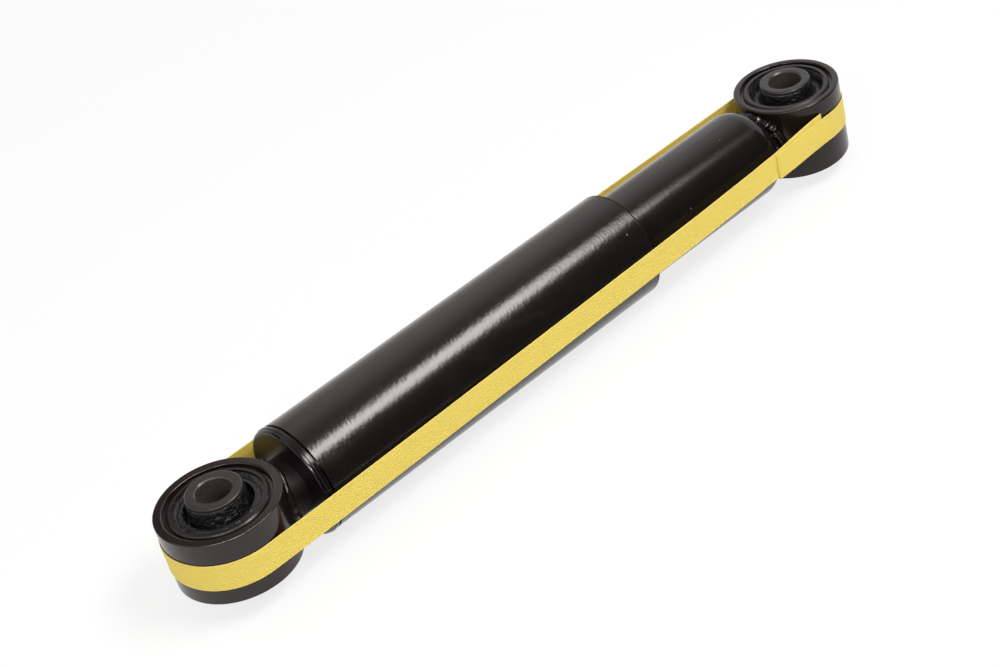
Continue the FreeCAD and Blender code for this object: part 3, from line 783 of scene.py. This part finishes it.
@dataclass
class WeldBead:
    """Rippled weld bead that closes on itself, carried along the joint between a neck and what it meets."""

    name: str
    body: Body
    path: Array
    finish: Finish
    radius: float = 0.0022
    unevenness: float = 0.12
    lump_height: float = 0.0011
    lump_pitch: float = 0.0036
    lump_jitter: float = 0.4
    lump_heights: Band = (0.15, 1.0)
    lump_power: float = 1.5
    lump_lean: float = 1.3
    lump_length: float = 0.45
    lump_turn: float = 0.8
    seed: int = 1
    steps_round: int = 20

    def build(self) -> None:
        """Carries a circle along the path, swells it with lumps and lets the bead ride on its body.

        Each lump is a bell in the angle along the path times a bell in the angle round the circle, at a
        jittered place and of a seeded height. A slow unevenness changes the circle itself.
        """
        path = self.path
        steps = len(path)
        angle = np.linspace(0, TURN, steps, endpoint=False)
        tangent = np.roll(path, -1, 0) - np.roll(path, 1, 0)
        tangent /= np.linalg.norm(tangent, axis=1, keepdims=True)
        outward = np.stack([np.zeros(steps), np.cos(angle), np.sin(angle)], -1)
        outward -= (outward * tangent).sum(1, keepdims=True) * tangent
        outward /= np.linalg.norm(outward, axis=1, keepdims=True)
        sideways = np.cross(tangent, outward)
        length = np.linalg.norm(np.roll(path, -1, 0) - path, axis=1).sum()
        chance = np.random.default_rng(self.seed)
        lumps = round(length / self.lump_pitch)
        jitter = chance.uniform(-self.lump_jitter, self.lump_jitter, lumps)
        places = (np.arange(lumps) + jitter) * TURN / lumps
        heights = self.lump_height * chance.uniform(*self.lump_heights, lumps) ** self.lump_power
        leans = chance.uniform(-self.lump_lean, self.lump_lean, lumps)
        turn = np.linspace(0, TURN, self.steps_round, endpoint=False)
        away = turned_by(angle[:, None] - places) * lumps / TURN
        bell_along = np.exp(-(away / self.lump_length) ** 2)
        bell_round = np.exp(-(turned_by(turn[:, None] - leans) / self.lump_turn) ** 2)
        round_reach = self.radius * (1 + self.unevenness * wobble(angle, self.seed)[:, None])
        reach = round_reach + (bell_along * heights) @ bell_round.T
        ray = np.cos(turn)[:, None] * outward[:, None] + np.sin(turn)[:, None] * sideways[:, None]
        mesh = Surface(path[:, None] + reach[..., None] * ray, True, True).mesh(self.name)
        bead = show(mesh, self.finish.material())
        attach(bead, self.body.value)
        LOG.info("built %s with %d lumps", self.name, lumps)


def saddle(centre_x: float, ring_radius: float, neck_radius: float, steps: int = 560) -> Array:
    """Joint between a round neck along X and an upright ring.

    A point at angle a round the neck lies at y = r cos a and z = r sin a, and x is where the ring's wall is
    at that y: the square root of R squared less y squared, from the ring's centre.

    Args:
        centre_x: Place of the ring's axis.
        ring_radius: Radius of the ring, negative where the neck is on its -X side.
        neck_radius: Radius of the neck.
        steps: Points round the neck.

    Returns:
        The closed path.
    """
    angle = np.linspace(0, TURN, steps, endpoint=False)
    y, z = neck_radius * np.cos(angle), neck_radius * np.sin(angle)
    return np.stack([centre_x + np.sign(ring_radius) * np.sqrt(ring_radius ** 2 - y ** 2), y, z], -1)


@dataclass
class Eye:
    """An eye at one end: ring, bonded bush, bolt sleeve and the weld bead round its neck."""

    end: End
    body: Body
    centre_x: float
    ring_radius: float
    paint: BlackPaint
    lip: BlackPaint
    rubber: MouldedRubber
    sleeve: TurnedSleeve
    weld: BlackPaint
    weld_standoff: float
    weld_sizes: Mapping[str, Any]

    def build(self) -> None:
        """Dresses the eye's nodes and lays the bead in the groove at the neck's root."""
        end = self.end.value
        dress({
            f"{end}_eye_ring": self.paint,
            f"{end}_bush_outer_sleeve": self.lip,
            f"{end}_bush_rubber": self.rubber,
            f"{end}_bush_inner_sleeve": self.sleeve,
        })
        path = saddle(self.centre_x, self.ring_radius, NECK_RADIUS + self.weld_standoff)
        WeldBead(f"{end}_weld_bead", self.body, path, self.weld, **self.weld_sizes).build()


BASE_EYE = Eye(
    End.BASE, Body.CYLINDER, BASE_EYE_X, BASE_RING_RADIUS,
    paint=BlackPaint("base_eye_paint", EYE_BLACK, peel_pitch=even(0.0022), ior=1.42, gloss_tint=EYE_TINT),
    lip=BlackPaint("base_lip_paint", thin_colour=(0.045, 0.042, 0.040), roughness=0.40),
    rubber=MouldedRubber("base_bush_rubber", flash_height=0.00022),
    sleeve=TurnedSleeve("base_sleeve_steel", (BASE_EYE_X, 0, 0)),
    weld=BlackPaint(
        "base_weld_paint", roughness=0.07, nib_spacing=0.0024, nib_radius=0.0009, nib_height=0.0006),
    weld_standoff=0.0004,
    weld_sizes={"radius": 0.0030, "lump_height": 0.0014, "lump_pitch": 0.0026, "seed": 4})

ROD_EYE = Eye(
    End.ROD, Body.ROD, ROD_EYE_X, -ROD_RING_RADIUS,
    # Round the neck the paint is rougher, and its dark metallic share is painted shade in the recess between
    # the cap and the ring
    paint=BlackPaint(
        "rod_eye_paint", EYE_BLACK, roughness=0.16, peel_pitch=even(0.0022), dull_centre=ROD_NECK,
        dull_axes=(1, 1, 1), dull_radius=0.0195, dull_roughness=0.50, dull_painted_shade=0.6, ior=1.52,
        gloss_tint=EYE_TINT),
    lip=BlackPaint("rod_lip_paint", thin_colour=(0.040, 0.037, 0.035), roughness=0.24),
    rubber=MouldedRubber("rod_bush_rubber", (ROD_EYE_X, 0, 0)),
    sleeve=TurnedSleeve("rod_sleeve_steel", (ROD_EYE_X, 0, 0)),
    weld=BlackPaint(
        "rod_weld_paint", roughness=0.30, nib_spacing=0.0030, nib_radius=0.0010, nib_height=0.0004),
    weld_standoff=0.0006,
    weld_sizes={"radius": 0.0023, "lump_height": 0.0017, "seed": 7})


@dataclass
class Tubes:
    """Reservoir, dust cover and cap, and the working pieces sealed inside them."""

    # Pale specks on the nibs of both tubes: partly dusty paint, partly painted glints
    reservoir: BlackPaint = BlackPaint(
        "reservoir_paint", roughness=0.15, peel_height=0.00006, nib_spacing=0.012, dust_and_glint=0.6)
    # At the open end a narrow band is rougher and dark metallic: a painted shade line along the cover's edge
    cover: BlackPaint = BlackPaint(
        "cover_paint", roughness=0.16, peel_height=0.00010, nib_spacing=0.012, dust_and_glint=0.6,
        dull_centre=COVER_EDGE, dull_axes=(1, 0, 0), dull_radius=0.0011, dull_roughness=0.5, dull_painted_shade=0.9)
    # A darker copy of the black paint: painted shade on the cap, whose face looks at the rod eye's shaded
    # side
    cap: BlackPaint = BlackPaint(
        "cap_paint", colour=(0.0034, 0.0030, 0.0029), thin_colour=(0.011, 0.010, 0.009), roughness=0.14,
        peel_pitch=even(0.0020), dull_radius=0.0312, ior=1.38)
    chrome: WorkedMetal = WorkedMetal(
        "rod_chrome", (0.72, 0.73, 0.75), roughness=0.10, mark_pitch=(0.0002, 0.004, 0.004),
        mark_depth=0.000001)
    steel: WorkedMetal = WorkedMetal("plain_steel", (0.50, 0.50, 0.51))
    spring: WorkedMetal = WorkedMetal("spring_steel", (0.30, 0.32, 0.37), roughness=0.25)
    iron: WorkedMetal = WorkedMetal(
        "sintered_iron", (0.16, 0.16, 0.17), metallic=0.8, roughness=0.5, mark_pitch=even(0.0005),
        mark_depth=0.00002)
    bronze: WorkedMetal = WorkedMetal("guide_bronze", (0.55, 0.38, 0.18), roughness=0.28)
    seal: MouldedRubber = MouldedRubber("seal_rubber", roughness=0.5)
    band: WorkedMetal = WorkedMetal("band_plastic", (0.07, 0.09, 0.08), metallic=0.0, roughness=0.45)

    def build(self) -> None:
        """Dresses every tube and every piece inside them."""
        steel = ("pressure_tube", "closing_washer", "rebound_stop_collar", "intake_stop_washer",
                 "piston_nut", "base_valve_bolt", "base_valve_nut")
        spring = ("rebound_valve_discs", "intake_valve_disc", "intake_valve_spring",
                  "compression_valve_discs", "base_check_plate", "base_check_spring")
        dress({
            "reservoir_tube": self.reservoir,
            "dust_cover": self.cover,
            "cover_cap": self.cap,
            "piston_rod": self.chrome,
            "guide_bush": self.bronze,
            "piston_band": self.band,
            **dict.fromkeys(steel, self.steel),
            **dict.fromkeys(spring, self.spring),
            **dict.fromkeys(("piston", "base_valve_body", "rod_guide"), self.iron),
            **dict.fromkeys(("rod_seal", "rebound_bumper"), self.seal),
        })


@dataclass
class TransportStrap:
    """Yellow strap wound once round both eyes, with its outer end lapped over its inner end.

    It starts on the near side by the base eye, runs to the rod eye, goes round it, comes back on the far
    side, goes round the base eye and ends over its own start.
    """

    width: float = 0.0168
    thickness: float = 0.0005
    gap: float = 0.00012
    start_x: float = 0.0070
    end_x: float = 0.0530
    step_length: float = 0.012
    step_clearance: float = 0.001
    ribs: int = 13
    rib_depth: float = 0.00006
    rib_steps: int = 5
    edge_steps: int = 6
    run_spacing: float = 0.003
    arc_spacing: float = 0.0017
    smoothing: float = 0.016
    smoothing_step: float = 0.0005
    heights: Sequence[tuple[float, float]] = STRAP_HEIGHTS
    blend_start: Vec = (0.060, 0, 0)
    blend_end: Vec = (0.400, 0, 0)

    def plan(self) -> tuple[Array, Array]:
        """Route seen from above: two runs that touch both circles, and the arcs between them.

        The runs lean by the angle whose sine is the difference of the radii over the distance of the eyes,
        and an arc is its radius times the cosine and sine of an angle that falls from the near side to the
        far side.

        Returns:
            Points and outward directions, one row for each station.
        """
        out = self.gap + self.thickness / 2
        base, rod = BASE_RING_RADIUS + out, ROD_RING_RADIUS + out
        lean = np.arcsin((rod - base) / ROD_EYE_X)
        near = np.pi / 2 + lean
        far = -near
        centre = np.array([ROD_EYE_X, 0.0])

        def ray(angle: Array) -> Array:
            """Unit direction at an angle from +X towards +Y."""
            return np.stack([np.cos(angle), np.sin(angle)], -1)

        def shares(length: float, spacing: float) -> Array:
            """Shares of a length from 0 up to 1, without 1, at about this spacing."""
            return np.linspace(0, 1, int(length / spacing), endpoint=False)

        def run(start: Array, end: Array, angle: float) -> tuple[Array, Array]:
            """Straight stations, and their outward direction."""
            share = shares(np.linalg.norm(end - start), self.run_spacing)[:, None]
            return start + share * (end - start), np.broadcast_to(ray(np.array(angle)), (len(share), 2))

        def arc(middle: Array, radius: float, start: float, end: float) -> tuple[Array, Array]:
            """Stations round an eye, and their outward directions."""
            outward = ray(start + (end - start) * shares(radius * abs(end - start), self.arc_spacing))
            return middle + radius * outward, outward

        tangent_base, tangent_rod = base * ray(np.array(near)), centre + rod * ray(np.array(near))
        along = (tangent_rod - tangent_base) / np.linalg.norm(tangent_rod - tangent_base)
        mirror = np.array([1.0, -1.0])
        pieces = (
            run(tangent_base + along * self.start_x, tangent_rod, near),
            arc(centre, rod, near, far),
            run(tangent_rod * mirror, tangent_base * mirror, far),
            arc(np.zeros(2), base, far, near - TURN),
            run(tangent_base, tangent_base + along * self.end_x, near),
        )
        return np.concatenate([p for p, _ in pieces]), np.concatenate([n for _, n in pieces])

    def section(self) -> tuple[Array, Array]:
        """Outline of the cut strap: ribs on both faces and round edges.

        The outer face is half the thickness less a cosine of the ribs, the edges are half circles, and the
        inner face is the outer one mirrored.

        Returns:
            Place across the strap and place out from its middle, going round the outline once.
        """
        flat = self.width / 2 - self.thickness / 2
        across = np.linspace(-flat, flat, self.ribs * self.rib_steps + 1)
        valley = 0.5 + 0.5 * np.cos(TURN * self.ribs * (across / self.width + 0.5))
        face = self.thickness / 2 - self.rib_depth * valley
        bend = np.linspace(0, np.pi, self.edge_steps)[1:-1]
        edge_across = flat + self.thickness / 2 * np.sin(bend)
        edge_out = self.thickness / 2 * np.cos(bend)
        return (np.concatenate([across, edge_across, across[::-1], -edge_across]),
                np.concatenate([face, edge_out, -face[::-1], -edge_out]))

    def route(self) -> tuple[Array, Array, Array]:
        """Middle line in space.

        Heights are straight between their knots and then averaged over a short window. Where the strap
        climbs on its own start it moves out by its thickness and gap, along a smooth step.

        Returns:
            Length along the strap, points, and outward directions.
        """
        flat, outward = self.plan()
        length = np.concatenate([[0.0], np.cumsum(np.linalg.norm(np.diff(flat, axis=0), axis=1))])
        knots = np.array(self.heights)
        fine = np.arange(-self.smoothing, length[-1] + self.smoothing, self.smoothing_step)
        window = np.hanning(int(self.smoothing / self.smoothing_step))
        rough = np.interp(fine, knots[:, 0], knots[:, 1])
        half = len(window) // 2
        padded = np.pad(rough, half, mode="edge")
        smooth = np.convolve(padded, window / window.sum(), mode="valid")[:len(fine)]
        height = np.interp(length, fine, smooth)
        climb_end = length[-1] - (self.end_x - self.start_x) - self.step_clearance
        share = np.clip((length - climb_end) / self.step_length + 1, 0, 1)
        climb = share * share * (3 - 2 * share) * (self.thickness + self.gap)
        normal = np.column_stack([outward, np.zeros(len(outward))])
        return length, np.column_stack([flat, height]) + normal * climb[:, None], normal

    def build(self) -> None:
        """Carries the section along the route, maps the weave on it and shows it in place of the imported
        strap.
        """
        length, points, normal = self.route()
        tangent = np.gradient(points, length, axis=0)
        up = np.cross(tangent, normal)
        up /= np.linalg.norm(up, axis=1, keepdims=True)
        across, out = self.section()
        grid = points[:, None] + across[None, :, None] * up[:, None] + out[None, :, None] * normal[:, None]
        mesh = Surface(grid[:, ::-1], wrap_columns=True).mesh("woven_strap", closed_ends=True)
        share = np.broadcast_to(across[::-1] / self.width + 0.5, grid.shape[:2])
        station = np.broadcast_to(length[:, None], grid.shape[:2])
        self.map_weave(mesh, np.stack([share, station], -1).reshape(-1, 2))
        strap = show(mesh, RibbedWeave("strap_weave", self.ribs).material())
        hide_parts("transport_strap")
        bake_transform(strap)
        LOG.info("built woven_strap, %.3f m long", length[-1])

    def map_weave(self, mesh: bpy.types.Mesh, places: Array) -> None:
        """Stores where each corner lies on the flat strap.

        Args:
            mesh: The strap's mesh.
            places: Place across and along the strap for each vertex.
        """
        corner = np.zeros(len(mesh.loops), np.int32)
        mesh.loops.foreach_get("vertex_index", corner)
        layer = mesh.uv_layers.new(name=WEAVE_MAP)
        layer.data.foreach_set("uv", places[corner].astype(np.float32).ravel())


@dataclass(frozen=True)
class SoftBox:
    """Rectangular lamp that faces the part and doesn't show in its gloss.

    Its middle lies at a distance along a direction from the part's middle, moved within its own plane, and
    its long side is turned in that plane from the direction of +X.
    """

    name: str
    direction: Vec
    distance: float
    size: tuple[float, float]
    power: float
    shift: tuple[float, float] = (0.0, 0.0)
    turn: float = 0.0

    def build(self) -> None:
        """Adds the lamp."""
        lamp = bpy.data.lights.new(self.name, "AREA")
        lamp.shape = "RECTANGLE"
        lamp.size, lamp.size_y = self.size
        lamp.energy = self.power
        back = Vector(self.direction).normalized()
        side = (Vector((1, 0, 0)) - back * back.x).normalized()
        other = back.cross(side)
        long_side = side * np.cos(self.turn) + other * np.sin(self.turn)
        place = Vector(PART_MIDDLE) + back * self.distance + side * self.shift[0] + other * self.shift[1]
        box = show(lamp)
        box.matrix_world = posed(place, long_side, back.cross(long_side), back)
        box.visible_glossy = False


@dataclass(frozen=True)
class GlossCard:
    """Screen that only gloss shows: bright or dark, fading to another brightness along one direction."""

    name: str
    points: Array
    shade: float
    far_shade: float = 0.0
    along: Vec = (1, 0, 0)
    fade: Band | None = None
    tone: Colour = WHITE

    def build(self) -> None:
        """Adds the card and hides it from all but glossy rays."""
        material, shader = new_shader(self.name)
        near, far = (tuple(shade * c for c in self.tone) for shade in (self.shade, self.far_shade))
        colour: Any = (*near, 1.0)
        if self.fade:
            place = shader.vector("DOT_PRODUCT", shader.place(), self.along).output("Value")
            colour = shader.mix(place.band(*self.fade), near, far)
        shader.close(shader.glow(colour))
        card = show(Surface(self.points).mesh(self.name), material)
        for rays in ("camera", "diffuse", "shadow", "transmission"):
            setattr(card, f"visible_{rays}", False)


def flat_card(corner: Vec, first: Vec, second: Vec, steps: int = 6) -> Array:
    """Points of a flat card: a corner plus shares of two sides.

    Args:
        corner: One corner.
        first: Side along the rows.
        second: Side along the columns.
        steps: Points along each side.

    Returns:
        The grid.
    """
    share = np.linspace(0, 1, steps)
    return np.array(corner) + share[:, None, None] * np.array(first) + share[None, :, None] * np.array(second)


def bent_card(radius: float, angles: Band, heights: Band, steps: tuple[int, int] = (22, 8)) -> Array:
    """Points of an upright card bent round the part's middle: a part of a cylinder.

    Args:
        radius: Radius of the bend.
        angles: First and last angle from +X towards +Y, in degrees.
        heights: Lowest and highest place.
        steps: Points round the bend and up it.

    Returns:
        The grid.
    """
    turns = np.radians(np.linspace(*angles, steps[0]))
    turn, rise = np.meshgrid(turns, np.linspace(*heights, steps[1]), indexing="ij")
    return np.stack([PART_MIDDLE[0] + radius * np.cos(turn), radius * np.sin(turn), rise], -1)


@dataclass
class Studio:
    """Pale floor, white surround, three soft boxes, cards that only gloss shows, and the camera."""

    floor_gap: float = 0.0003
    floor_reach: float = 9.0
    floor_steps: int = 9
    floor_colour: Colour = (0.88, 0.88, 0.87)
    shadow_share: float = 0.22
    shadow_fade: Band = (1.6, 0.6)
    fill: Colour = (0.42, 0.42, 0.42)
    strip: SoftBox = SoftBox(
        "strip_box", (-0.458, 0.376, 0.806), 1.55, (0.94, 0.46), 19.8, shift=(0.285, 0.110), turn=0.80)
    side: SoftBox = SoftBox("side_box", (0.80, 0.35, 0.45), 1.7, (1.2, 1.2), 10.3)
    far: SoftBox = SoftBox("far_box", (0.05, -0.85, 0.35), 1.8, (1.6, 1.2), 6.0)
    dark: float = 0.004
    apron_gap: float = 0.002
    camera_place: Vec = (0.7979, 0.8294, 0.6670)
    camera_right: Vec = (-0.71727, 0.65828, -0.22845)
    camera_up: Vec = (-0.52533, -0.29548, 0.79795)
    camera_back: Vec = (0.45777, 0.69235, 0.55776)
    camera_lens: float = 76.95
    camera_sensor: float = 36.0
    camera_clip: Band = (0.01, 50.0)

    @property
    def floor_height(self) -> float:
        """Height of the floor, a little below the part's lowest point."""
        return CAD_BOX[0][2] - self.floor_gap

    def build(self) -> None:
        """Sets up everything round the part."""
        bpy.context.scene.view_settings.view_transform = "Standard"
        self.add_floor()
        self.add_surround()
        for light in (self.strip, self.side, self.far, *self.cards()):
            light.build()
        self.add_camera()

    def seen(self, shader: Shader) -> Term:
        """1 for rays that show the background: from the camera, off gloss or through the weave."""
        ray = shader.node("LightPath")
        return ray.larger(ray.output("Is Glossy Ray")).larger(ray.output("Is Transmission Ray"))

    def add_floor(self) -> None:
        """Flat grid under the part: white where seen, less the part's shadow close to it."""
        material, shader = new_shader("studio_floor")
        away = shader.radius(PART_MIDDLE, (1, 1, 0))
        plain = shader.node("BsdfDiffuse", None, {"Color": (*self.floor_colour, 1.0)})
        share = self.seen(shader) * (1 - self.shadow_share * away.band(*self.shadow_fade))
        shader.close(shader.blend(share, plain, shader.glow((*WHITE, 1.0))))
        reach = np.linspace(-self.floor_reach, self.floor_reach, self.floor_steps)
        x, y = np.meshgrid(reach, reach, indexing="ij")
        points = np.stack([x, y, np.full_like(x, self.floor_height)], -1)
        show(Surface(points).mesh("studio_floor"), material)

    def add_surround(self) -> None:
        """White world where it is seen, and an even grey fill as light."""
        world = bpy.data.worlds.new("studio_surround")
        world.use_nodes = True
        shader = Shader(world.node_tree)
        colour = shader.mix(self.seen(shader), self.fill, WHITE)
        light = shader.node("Background", None, {"Color": colour, "Strength": 1.0})
        shader.node("OutputWorld", None, {"Surface": light})
        bpy.context.scene.world = world

    def cards(self) -> tuple[GlossCard, ...]:
        """What gloss shows of the room.

        Returns:
            The strip box, a small box beside the camera and a band above it, the dark screen and apron, the
            grey ceiling, and the far wall, which is dark above the rod eye.
        """
        strip = flat_card(corner=(-0.739, -0.030, 1.393),
                          first=(0.819, 0.931, 0.031), second=(-0.220, 0.201, -0.219))
        front = flat_card(corner=(1.673, 0.748, 0.825),
                          first=(-0.294, 0.405, 0), second=(-0.232, -0.169, 0.410))
        band = bent_card(radius=2.1, angles=(52, 100), heights=(1.55, 1.80))
        screen = bent_card(radius=2.3, angles=(60, 165), heights=(self.floor_height, 3.2))
        apron = flat_card(corner=(-2.0, 0.20, self.floor_height + self.apron_gap),
                          first=(4.5, 0, 0), second=(0, 2.15, 0))
        ceiling = flat_card(corner=(-2.0, -1.1, 2.2), first=(4.0, 0, 0), second=(0, 2.2, 0))
        wall = flat_card(corner=(-1.0, -1.5, 0.90), first=(3.0, 0, 0), second=(0, 0, 1.25))
        low_wall = flat_card(corner=(-1.0, -1.5, 0.0), first=(3.0, 0, 0), second=(0, 0, 0.90))
        return (
            GlossCard("strip_glow", strip, 0.02, far_shade=18.0, along=(1.27, 0.30, 0),
                      fade=(-0.845, -0.445)),
            GlossCard("front_glow", front, 12.0),
            GlossCard("edge_band", band, 45.0),
            GlossCard("dark_screen", screen, self.dark),
            GlossCard("dark_apron", apron, self.dark),
            GlossCard("grey_ceiling", ceiling, 0.86, far_shade=0.34, along=(0, 1, 0), fade=(-1.05, 0.20),
                      tone=WARM),
            GlossCard("far_wall", wall, 1.06, far_shade=0.10, fade=(-0.34, -0.20), tone=WARM),
            GlossCard("low_far_wall", low_wall, 0.82, tone=WARM),
        )

    def add_camera(self) -> None:
        """Camera at the photograph's place, turn and angle of view."""
        data = bpy.data.cameras.new("photo_camera")
        data.sensor_width = self.camera_sensor
        data.lens = self.camera_lens
        data.clip_start, data.clip_end = self.camera_clip
        camera = show(data)
        camera.matrix_world = posed(self.camera_place, self.camera_right, self.camera_up, self.camera_back)
        bpy.context.scene.camera = camera


def main() -> None:
    """Builds every sub-assembly in order."""
    logging.basicConfig(level=logging.INFO, format="%(name)s: %(message)s")
    for assembly in (BASE_EYE, ROD_EYE, Tubes(), TransportStrap(), Studio()):
        assembly.build()
        LOG.info("finished %s", type(assembly).__name__)


if __name__ == "__main__":
    main()
